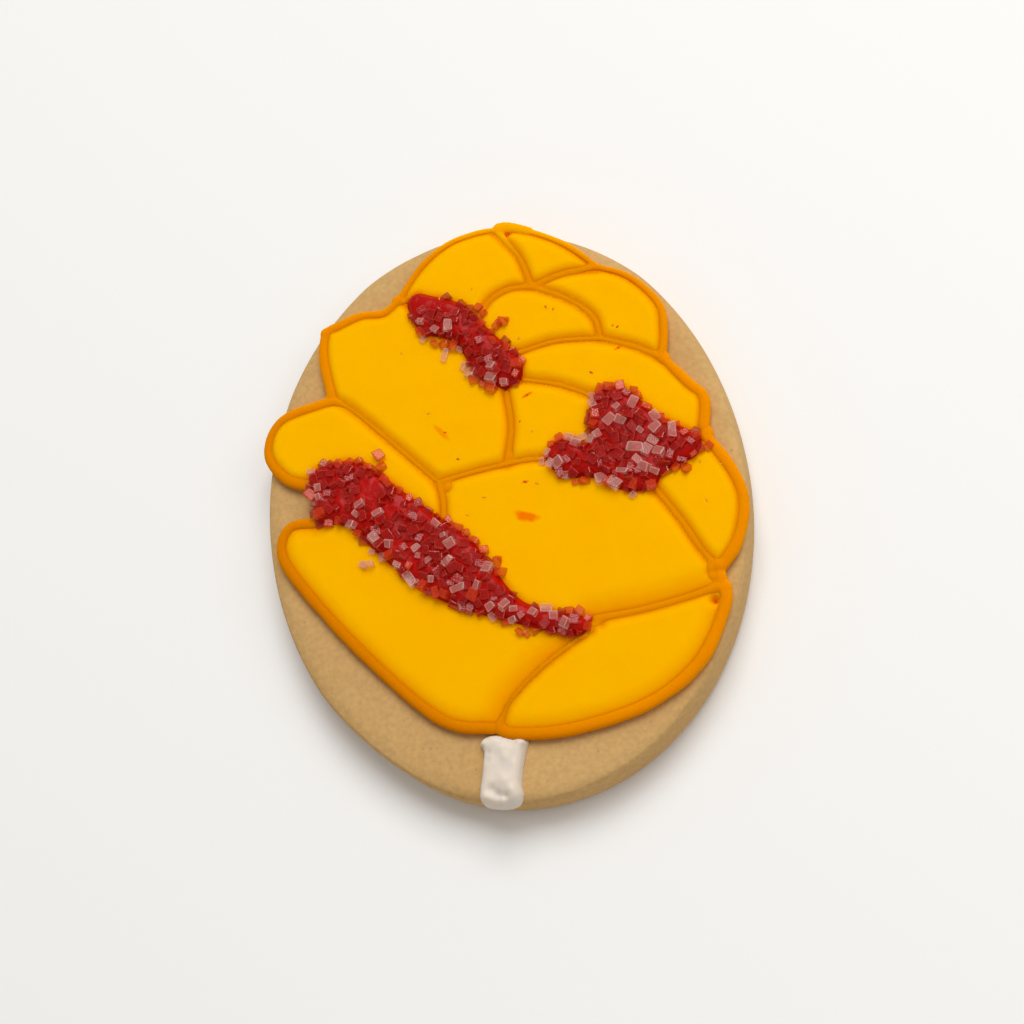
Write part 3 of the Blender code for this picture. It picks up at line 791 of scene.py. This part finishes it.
def flood_height(petal, names, places):
    """How high the flood stands, how deep its colour runs (partly for the thinner layer, partly painted
    shade in the creases, down the slopes and in the pits), and how far gel has bled into it.
    """
    rise = np.ones(len(places))
    bank = np.ones(len(places))
    stain = np.zeros(len(places))
    crease_shade = np.zeros(len(places))
    for name in names:
        far = from_line(line_points(name), places)
        if is_piped(name):
            slope = WIDE_SLOPES.get((petal, name), FLOOD_SLOPE)
            thinning = rim_thinning(places) if name.startswith("rim_") else 0.0
            t = np.clip((far - FLOOD_START + START_DRAWN * thinning) / slope, 0, 1)
            rise *= 1 - (1 - t) ** FLOOD_CURVE
            meets = RIM_CREASE - CREASE_DRAWN * thinning if name.startswith("rim_") else SEAM_CREASE
            meets = meets - SLIM_SEAM if name in SLIM_SEAMS else meets
            crease_shade = np.maximum(crease_shade, np.exp(-(((far - meets) / CREASE_WIDTH) ** 2)))
        else:
            t = np.clip(far / BANK_SLOPE, 0, 1)
            bank *= 1 - (1 - BANK_EDGE / FLOOD_TOP) * (1 - t) ** 2
            stain = np.maximum(stain, np.exp(-((far / STAIN_REACH) ** 2)))
    height = FLOOD_EDGE + (FLOOD_TOP - FLOOD_EDGE) * rise
    height = height * bank + 0.05 * waves(places, 7.0, 3.1) * rise + 0.02 * waves(places, 3.0, 8.2) * rise
    # The colour deepens down the slopes, partly for the thinner layer and partly as painted shade, and
    # along the crease as painted shade alone.
    thin = 0.75 * (1 - rise) + 0.4 * crease_shade
    for where, reach, deep in PITS:
        pit = np.exp(-(((places[:, 0] - where[0]) ** 2 + (places[:, 1] - where[1]) ** 2) / reach**2))
        height -= deep * pit
        # A pit's colour deepens too: partly the thinner layer, partly painted shade in the hollow.
        thin = np.maximum(thin, pit)
    return height, thin, stain * (0.6 + 0.4 * waves(places, 1.5, 6.6))


def icing_top(place):
    """The height of the icing at a place: the flood's or the gel's, whichever stands higher."""
    spot = np.array([place])
    heights = [FLOOD_EDGE]
    for petal, names in PETALS.items():
        if depth_in(outline(names), spot)[0] > 0:
            heights.append(flood_height(petal, names, spot)[0][0])
    for names in STREAKS.values():
        spread = swollen(outline(names))
        if depth_in(spread, spot)[0] > 0:
            heights.append(gel_height(spread, spot)[0])
    return icing_rest(spot)[0] + max(heights)


def make_petal(name, names, material):
    """One flooded petal, puffed between its piped lines."""
    bm = cut_sheet(outline(names), FLOOD_PITCH)
    places = flat_places(bm.verts)
    height, *shares = flood_height(name, names, places)
    # The "thin" layer carries the deeper colour: the thinner layer, and painted shade in the creases, down
    # the slopes and in the pits.
    layers = [bm.verts.layers.float.new(layer) for layer in ("thin", "stain")]
    lift(bm.verts, icing_rest(places) + height)
    for layer, values in zip(layers, shares):
        for v, value in zip(bm.verts, values):
            v[layer] = value
    close_below(bm)
    piece = finished(name + "_flood", bm, material)
    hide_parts(name)


def stroke_route(names):
    """The middle line of a stroke, its corners softened as icing leaves the tip."""
    parts = []
    for name in names:
        points = line_points(name.lstrip("-"), STROKE_PITCH)
        parts.append(points[::-1] if name.startswith("-") else points)
    route = np.concatenate(parts)
    keep = [0]
    for k in range(1, len(route)):
        if np.hypot(*(route[k] - route[keep[-1]])) > STROKE_GAP:
            keep.append(k)
    route = route[keep]
    for _ in range(3):
        route[1:-1] = (route[:-2] + 2 * route[1:-1] + route[2:]) / 4
    return route


def next_ring(bm, ring):
    """A ring drawn out of the last one, its vertices in the same order."""
    sides = {edge for v in ring for edge in v.link_edges if edge.other_vert(v) in ring}
    grown = bmesh.ops.extrude_edge_only(bm, edges=list(sides))
    fresh = {}
    for item in grown["geom"]:
        if isinstance(item, bmesh.types.BMVert):
            old = next(edge.other_vert(item) for edge in item.link_edges if edge.other_vert(item) in ring)
            fresh[old] = item
    return [fresh[v] for v in ring]


def pipe(bm, route, radii, crests, seed):
    """A round line of stiff icing along a route, thick and thin by turns, with rounded ends."""
    heights = icing_rest(route) + crests - PIPE_FLATNESS * radii
    spine = np.column_stack([route, heights])
    ahead = np.gradient(spine, axis=0)
    travelled = np.concatenate([[0], np.cumsum(np.linalg.norm(np.diff(spine, axis=0), axis=1))])
    left = travelled[-1] - travelled
    first = bmesh.ops.create_circle(bm, segments=PIPE_CORNERS, radius=1.0)["verts"]
    for k, place in enumerate(spine):
        ring = next_ring(bm, ring) if k else first
        swell = 1 + PIPE_SWELL * noise.noise((travelled[k] / PIPE_SWELL_LENGTH, seed, 0.5))
        radius = float(radii[k])
        taper = math.sqrt(max(0.02, 1 - max(0.0, 1 - min(travelled[k], left[k]) / radius) ** 2))
        size = radius * swell * taper
        forward = Vector(ahead[k]).normalized()
        across = Vector((-forward.y, forward.x, 0)).normalized()
        up = forward.cross(across)
        for j, v in enumerate(ring):
            turn = math.tau * j / PIPE_CORNERS
            rise = math.sin(turn) * (PIPE_DEPTH if j > PIPE_CORNERS / 2 else PIPE_FLATNESS)
            v.co = Vector(place) + size * (math.cos(turn) * across + rise * up)
    bmesh.ops.contextual_create(bm, geom=first)
    bmesh.ops.contextual_create(bm, geom=ring)


def make_piping(material):
    """Every piped line of the outline, run together where the lines meet."""
    rims = [line_points(name) for name in LINES if name.startswith("rim_")]
    slims = [line_points(name) for name in SLIM_SEAMS]
    bm = bmesh.new()
    for seed, names in enumerate(STROKES):
        route = stroke_route(names)
        from_rim = np.min([from_line(points, route) for points in rims], axis=0)
        from_slim = np.min([from_line(points, route) for points in slims], axis=0)
        rim = np.interp(from_rim, [0.3, 2.5], [1, 0])
        slim = np.interp(from_slim, [0.3, 2.0], [SLIM_SEAM, 0])
        outward = route / np.linalg.norm(route, axis=1)[:, None]
        thin = rim * rim_thinning(route)
        radii = PIPE_RADIUS + (RIM_PIPE_RADIUS - PIPE_RADIUS) * rim - thin - slim * (1 - rim)
        crests = PIPE_CREST + (RIM_PIPE_CREST - PIPE_CREST) * rim - CREST_SUNK * thin
        pipe(bm, route + thin[:, None] * outward, radii, crests, seed * 1.7)
    for where, size, crest in DABS:
        z = icing_rest(np.array([where]))[0] + crest - PIPE_FLATNESS * size
        at = Matrix.Translation((*where, z)) @ Matrix.Diagonal((1, 1, PIPE_FLATNESS, 1))
        bmesh.ops.create_icosphere(bm, subdivisions=3, radius=size, matrix=at)
    bmesh.ops.recalc_face_normals(bm, faces=bm.faces[:])
    piece = finished("piped_outline", bm, material, smooth=180)
    melt = piece.modifiers.new("run together", "REMESH")
    melt.mode = "VOXEL"
    melt.voxel_size = PIPE_VOXEL * MM
    melt.use_smooth_shade = True
    soft = piece.modifiers.new("soften", "SMOOTH")
    soft.factor = 0.5
    soft.iterations = 5


def swollen(flat):
    """An outline rounded off and grown outward, as gel spreads over the icing's edge."""
    for _ in range(3):
        flat = (np.roll(flat, 1, axis=0) + 2 * flat + np.roll(flat, -1, axis=0)) / 4
    ahead = np.roll(flat, -1, axis=0) - np.roll(flat, 1, axis=0)
    outward = np.column_stack([ahead[:, 1], -ahead[:, 0]])
    return flat + GEL_SPREAD * outward / np.linalg.norm(outward, axis=1)[:, None]


def gel_height(flat, places):
    """How high the gel stands: rounded at its edge, heaped and lumpy in the middle."""
    rise = heap(flat, places, GEL_SHOULDER)
    lumps = 0.22 * waves(places, 2.1, 5.5) + 0.08 * waves(places, 0.9, 1.2)
    return GEL_BED + GEL_HEAP * rise + lumps * rise


def make_gel(name, names, material):
    """One streak of gel, down to the biscuit."""
    flat = swollen(outline(names))
    bm = cut_sheet(flat, GEL_PITCH)
    places = flat_places(bm.verts)
    lift(bm.verts, icing_rest(places) + gel_height(flat, places))
    close_below(bm)
    piece = finished(name.replace("red_streak", "gel"), bm, material)
    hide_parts(name)


# Where the gel shows bare, as a place and how far round it, in mm.
BARE_GEL = [
    ((-6.2, 33.4), 2.2), ((-3.4, 32.0), 1.7), ((-0.8, 30.6), 1.6), ((0.4, 26.6), 1.0),
    ((-17.5, 6.2), 2.1), ((-14.6, 2.4), 1.3), ((-10.6, -3.0), 0.9), ((-6.0, -8.0), 0.9),
    ((-0.5, -12.6), 1.5), ((1.8, -15.3), 1.5), ((3.6, -18.6), 0.8),
]

# Clear crystals, in mm.
CLEAR_SUGAR = [
    (-15.9, -2.6), (-10.8, -6.5), (-10.8, -9.3), (-7.9, -3.6), (-8.6, -1.6), (-7.1, -5.0),
    (-4.5, -12.0), (-2.6, -9.9), (-12.2, -4.3), (-20.0, 3.1), (-19.1, 4.4), (-18.0, -1.2), (-25.0, 7.1),
    (-24.9, 8.6), (-25.6, 11.3), (-15.3, -6.0), (-19.7, -4.5), (-20.5, -4.3), (-3.3, -15.4),
    (-21.0, 1.8), (-17.5, -4.0), (-19.0, -2.7), (-3.4, -16.7), (-1.3, -15.8), (-0.1, -16.6),
    (-0.6, -18.0), (2.5, -17.8), (4.2, -17.6), (5.1, -18.9), (6.6, -20.4), (16.7, 9.5), (16.6, 11.3),
    (19.9, 8.0), (18.6, 6.4), (22.3, 8.1), (16.3, 4.9), (15.3, 4.4), (14.1, 5.2), (12.4, 5.7),
    (13.2, 4.6), (8.9, 4.4), (9.0, 2.8), (10.2, 2.3), (10.8, 0.5), (7.7, 3.7), (22.4, 3.7), (23.8, 1.6),
    (22.7, 0.7), (24.3, -0.1), (21.1, -0.4), (21.9, -1.7), (23.1, -2.6), (17.3, -2.7), (15.5, -1.4),
    (24.8, 5.4), (24.6, 3.5), (19.3, -4.8), (20.1, 5.9), (-5.4, 29.5), (-1.5, 27.4), (-5.7, 27.0),
    (-0.7, 23.8), (-0.6, 21.0), (0.2, 19.7), (3.6, 19.5), (3.2, 17.7), (4.9, 16.6), (-3.6, 27.7),
]

# Long clear crystals, in mm.
LONG_SUGAR = [
    (-7.2, -11.7), (-16.7, 2.3), (-8.0, -7.5), (-14.0, -8.3), (21.3, 1.4), (18.7, -1.4), (26.8, 2.5),
    (-3.0, 23.6),
]

# Dyed crystals along the streaks' edges, partly on the icing, in mm.
EDGE_SUGAR = [
    (-15.4, 11.2), (-15.4, 9.4), (-15.0, 7.2), (-14.5, 6.2), (-13.2, 4.9), (-12.0, 3.4), (-18.4, 11.0),
    (-19.7, 11.2), (-21.3, 11.3), (-17.1, 9.8), (-26.3, 8.1), (-25.2, 4.6), (-24.4, 3.2), (-22.9, 3.0),
    (-20.3, 0.4), (-16.2, -4.2), (-13.7, -6.6), (-12.2, -9.9), (-10.6, -11.4), (-9.4, -11.9),
    (-7.0, -1.1), (-6.1, -2.5), (-5.0, -3.6), (-4.0, -5.2), (-2.8, -6.9), (-1.4, -9.1), (-1.2, -10.6),
    (-5.4, -13.2), (-0.1, -19.8), (0.8, -20.3), (7.3, -18.6), (8.6, -18.9), (9.5, -20.2), (9.2, -21.4),
    (-1.7, -17.9), (18.1, 11.7), (19.4, 11.4), (21.0, 11.2), (22.7, 10.3), (22.9, 9.0), (24.0, 7.0),
    (25.6, 4.9), (26.2, 3.9), (27.4, 3.1), (28.4, 1.6), (29.8, 0.7), (31.0, -0.7), (28.7, -1.5),
    (26.0, -2.6), (27.3, -3.1), (16.7, 7.8), (16.3, 6.5), (9.6, 5.6), (11.0, 6.0), (11.8, -0.8),
    (13.2, -0.9), (19.8, -3.6), (22.0, -4.2), (16.5, -2.1), (3.1, 29.6), (3.8, 28.5), (3.3, 26.9),
    (4.4, 25.1), (5.5, 25.9), (6.4, 26.2), (6.3, 21.7), (7.2, 18.8), (7.9, 19.4), (-1.3, 24.6),
    (-2.7, 25.2), (-4.1, 25.9), (4.6, 23.2), (6.7, 17.4), (1.6, 17.6), (2.7, 16.6), (0.6, 18.8),
    (-5.9, 28.3),
]


def fill_streak(flat, draw, taken):
    """Chance places over a streak, each clear of the last ones and of those taken already."""
    low, high = flat.min(0), flat.max(0)
    tries = int((high - low).prod() * SUGAR_TRIES)
    near = (-SUGAR_JITTER, SUGAR_JITTER)
    spots = [(x + draw.uniform(*near), y + draw.uniform(*near)) for x, y in flat[::2]]
    spots += [(draw.uniform(low[0], high[0]), draw.uniform(low[1], high[1])) for _ in range(tries)]
    spots = np.array(spots)
    kept = []
    for spot, deep in zip(spots, depth_in(flat, spots)):
        bare = any(np.hypot(*(spot - place)) < reach for place, reach in BARE_GEL)
        if deep < -SUGAR_OVERHANG or bare:
            continue
        if all(np.hypot(*(spot - other)) > SUGAR_SPACING for other in taken + kept):
            kept.append(tuple(spot))
    return kept


def add_crystal(bm, place, sunk, draw, long=1.0, tilt=0.4):
    """One worn block of sugar, lying at a chance turn and sunk by part of its height."""
    size = SUGAR_SIZE * draw.uniform(*SUGAR_LENGTHS)
    sides = (size * long, size * draw.uniform(*SUGAR_WIDTHS), size * draw.uniform(*SUGAR_HEIGHTS))
    lie = Euler((draw.uniform(-tilt, tilt), draw.uniform(-tilt, tilt), draw.uniform(0, math.pi)))
    height = icing_top(place) + sides[2] * (0.5 - sunk)
    here = Matrix.Translation((*place, height)) @ lie.to_matrix().to_4x4() @ Matrix.Diagonal((*sides, 1))
    cube = bmesh.ops.create_cube(bm, size=1.0)["verts"]
    edges = list({edge for v in cube for edge in v.link_edges})
    for v in cube:
        v.co += Vector([draw.uniform(-SUGAR_SKEW, SUGAR_SKEW) for _ in range(3)])
    # The bevelled edges take the second finish, a paler painted highlight.
    worn = bmesh.ops.bevel(
        bm, geom=edges, offset=SUGAR_WORN, segments=1, affect="EDGES", profile=0.5, material=1
    )
    corners = list({v for face in worn["faces"] for v in face.verts})
    bmesh.ops.transform(bm, matrix=here, verts=corners)
    over = max(0.0, max(v.co.z for v in corners) - SUGAR_TOP)
    bmesh.ops.translate(bm, vec=(0, 0, -over), verts=corners)


def make_sugar(red, bright, clear):
    """The sugar over the streaks: crystals dyed red, brighter ones along the edges, and clear ones."""
    draw = random.Random(12)
    dyed, rim, pale = bmesh.new(), bmesh.new(), bmesh.new()
    for place in CLEAR_SUGAR:
        add_crystal(pale, place, 0.15, draw)
    for place in LONG_SUGAR:
        add_crystal(pale, place, 0.1, draw, long=1.5, tilt=0.2)
    for place in EDGE_SUGAR:
        add_crystal(rim, place, 0.1, draw)
    taken = CLEAR_SUGAR + LONG_SUGAR + EDGE_SUGAR
    for names in STREAKS.values():
        found = fill_streak(outline(names), draw, taken)
        taken = taken + found
        for place in found:
            add_crystal(dyed, place, draw.uniform(0.2, 0.55), draw, tilt=draw.uniform(0.2, 0.9))
    finished("sugar_dyed", dyed, red, smooth=25)
    finished("sugar_along_edges", rim, bright, smooth=25)
    finished("sugar_clear", pale, clear, smooth=25)


# Specks of dried gel and of crumb on the icing, in mm.
GEL_SPECKS = [
    (13.9, 25.9), (21.8, 20.8), (17.3, 14.7), (7.6, 14.1), (5.8, 10.5), (4.8, 1.4), (21.8, 17.3),
    (-4.1, 7.5), (12.9, 26.6), (22.4, 20.4), (-5.2, 12.0), (9.4, 40.0),
]
CRUMB_SPECKS = [
    (-9.4, 26.0), (2.8, 32.8), (17.4, 24.9), (15.4, 20.7), (7.2, 8.5), (6.4, 0.7), (29.3, -2.6),
    (32.0, -3.7), (29.0, -8.3), (-7.1, 15.6), (-4.3, -1.1), (8.1, 23.0), (-1.4, 0.8), (-2.1, 32.3),
]


def make_specks(name, places, material):
    """Tiny flat specks on the icing, of one stuff."""
    draw = random.Random(4)
    bm = bmesh.new()
    for place in places:
        sides = (draw.uniform(*SPECK_LENGTHS), draw.uniform(*SPECK_WIDTHS), SPECK_HEIGHT)
        turn = Matrix.Rotation(draw.uniform(0, math.pi), 4, "Z")
        spot = Matrix.Translation((*place, icing_top(place) + SPECK_LIFT))
        here = spot @ turn @ Matrix.Diagonal((*sides, 1))
        bmesh.ops.create_icosphere(bm, subdivisions=2, radius=1.0, matrix=here)
    finished(name, bm, material, smooth=180)


# The white stick: its corners and the middles of its sides, in turn.
STICK = [
    (-9.0, -33.3), (-8.5, -32.8), (-7.5, -32.5), (-6.4, -32.6), (-5.2, -33.0), (-4.2, -33.6),
    (-3.4, -33.7), (-2.5, -34.0), (-2.2, -34.6), (-2.7, -35.5), (-3.3, -36.9), (-3.9, -38.6),
    (-4.3, -40.2), (-4.4, -41.6), (-5.2, -42.5), (-6.8, -42.7), (-8.5, -42.3), (-9.9, -41.7),
    (-10.4, -40.7), (-10.1, -39.4), (-9.5, -37.7), (-9.0, -36.0), (-8.6, -34.5),
]

# Lumps and dents on the stick: the place, how far they reach and how high they stand, in mm.
STICK_LUMPS = [
    ((-8.5, -33.3), 0.8, 0.3),
    ((-6.4, -33.2), 0.9, 0.25),
    ((-2.9, -34.5), 0.8, 0.3),
    ((-4.2, -34.3), 0.7, -0.25),
    ((-7.8, -34.9), 0.5, -0.25),
    ((-8.0, -36.0), 0.5, -0.2),
    ((-5.7, -34.7), 0.9, 0.15),
    ((-5.6, -36.0), 0.8, 0.15),
    ((-4.4, -37.2), 0.7, 0.15),
    ((-6.3, -39.0), 0.9, 0.25),
    ((-5.4, -40.6), 0.8, 0.3),
    ((-8.3, -39.9), 0.8, -0.45),
    ((-7.6, -40.8), 0.8, -0.6),
    ((-6.6, -41.2), 0.6, -0.45),
    ((-9.6, -40.9), 0.9, 0.4),
    ((-8.6, -41.7), 0.9, 0.4),
    ((-7.2, -42.0), 0.7, 0.3),
]


def make_stick(material):
    """The white daub from the petals to the biscuit's edge."""
    points = [(p.x, p.y) for p in curve_through(STICK + STICK[:1], 0.5)]
    flat = np.array(points)[::-1]
    bm = cut_sheet(flat, STICK_PITCH)
    places = flat_places(bm.verts)
    rise = heap(flat, places, STICK_SHOULDER)
    height = STICK_EDGE + STICK_HEAP * rise + 0.1 * waves(places, 1.6, 4.4) * rise
    for where, reach, lump in STICK_LUMPS:
        away = np.hypot(places[:, 0] - where[0], places[:, 1] - where[1]) / reach
        height += lump * np.exp(-(away**2) * 1.6) * rise
    lift(bm.verts, biscuit_top(places) + height)
    close_below(bm)
    piece = finished("white_stick_icing", bm, material)
    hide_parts("white_stick")


def make_stage():
    """A pale floor, soft light from the far side, and a dim even sky."""
    bpy.ops.mesh.primitive_plane_add(size=4.0)
    floor = bpy.context.object
    floor.name = "pale_floor"
    material, _, shader, _ = new_finish("pale_floor_paint")
    settle(shader, {"Base Color": linear("#F6F5F3"), "Roughness": 0.9})
    floor.data.materials.append(material)
    world = bpy.data.worlds.new("soft_sky")
    world.use_nodes = True
    settle(world.node_tree.nodes["Background"], {"Color": linear("#FFFDFA"), "Strength": 0.4})
    bpy.context.scene.world = world
    for name, place, size, power in [
        ("key", (0.32, 0.64, 1.1), 0.84, 11.6),
        ("fill", (0.35, 0.0, 0.4), 0.3, 0.4),
    ]:
        light = bpy.data.lights.new(name, "AREA")
        light.size = size
        light.energy = power
        lamp = bpy.data.objects.new(name, light)
        lamp.location = place
        lamp.rotation_euler = (-Vector(place)).to_track_quat("-Z", "Y").to_euler()
        bpy.context.scene.collection.objects.link(lamp)
    bpy.context.scene.view_settings.view_transform = "Standard"


def make_camera():
    """The photograph's view: from above, tilted towards the foot, a short way off."""
    tilt = math.radians(23.0)
    roll = math.radians(-11.106)
    around = math.radians(28.894)
    distance = 0.280
    target = Vector((0.000312, 0.000780, 0.0))
    back = Vector((math.sin(around) * math.sin(tilt), -math.cos(around) * math.sin(tilt), math.cos(tilt)))
    up_hint = Vector((-math.sin(roll), math.cos(roll), 0.0))
    right = (-back).cross(up_hint).normalized()
    up = right.cross(-back)
    data = bpy.data.cameras.new("photo_view")
    data.sensor_width = 36.0
    data.lens = 67.92
    data.clip_start = 0.01
    camera = bpy.data.objects.new("photo_view", data)
    turned = Matrix((right, up, back)).transposed().to_4x4()
    camera.matrix_world = Matrix.Translation(target + back * distance) @ turned
    bpy.context.scene.collection.objects.link(camera)
    bpy.context.scene.camera = camera


make_camera()
make_biscuit(baked_dough())
flood = flooded_icing()
for petal, names in PETALS.items():
    make_petal(petal, names, flood)
make_piping(piped_icing())
gel = wet_gel()
for streak, names in STREAKS.items():
    make_gel(streak, names, gel)
# Each sugar's second finish is the painted highlight on its edges.
sugars = [
    [sanding_sugar(name, colour, body), sanding_sugar(name + "_painted_highlight_edge", edge, edge_body)]
    for name, colour, body, edge, edge_body in SUGAR_FINISHES
]
make_sugar(*sugars)
make_specks("gel_specks", GEL_SPECKS, dry_specks("dried_gel", "#D64A00"))
make_specks("crumb_specks", CRUMB_SPECKS, dry_specks("browned_crumb", "#E09A10"))
make_stick(stiff_white_icing())
make_stage()
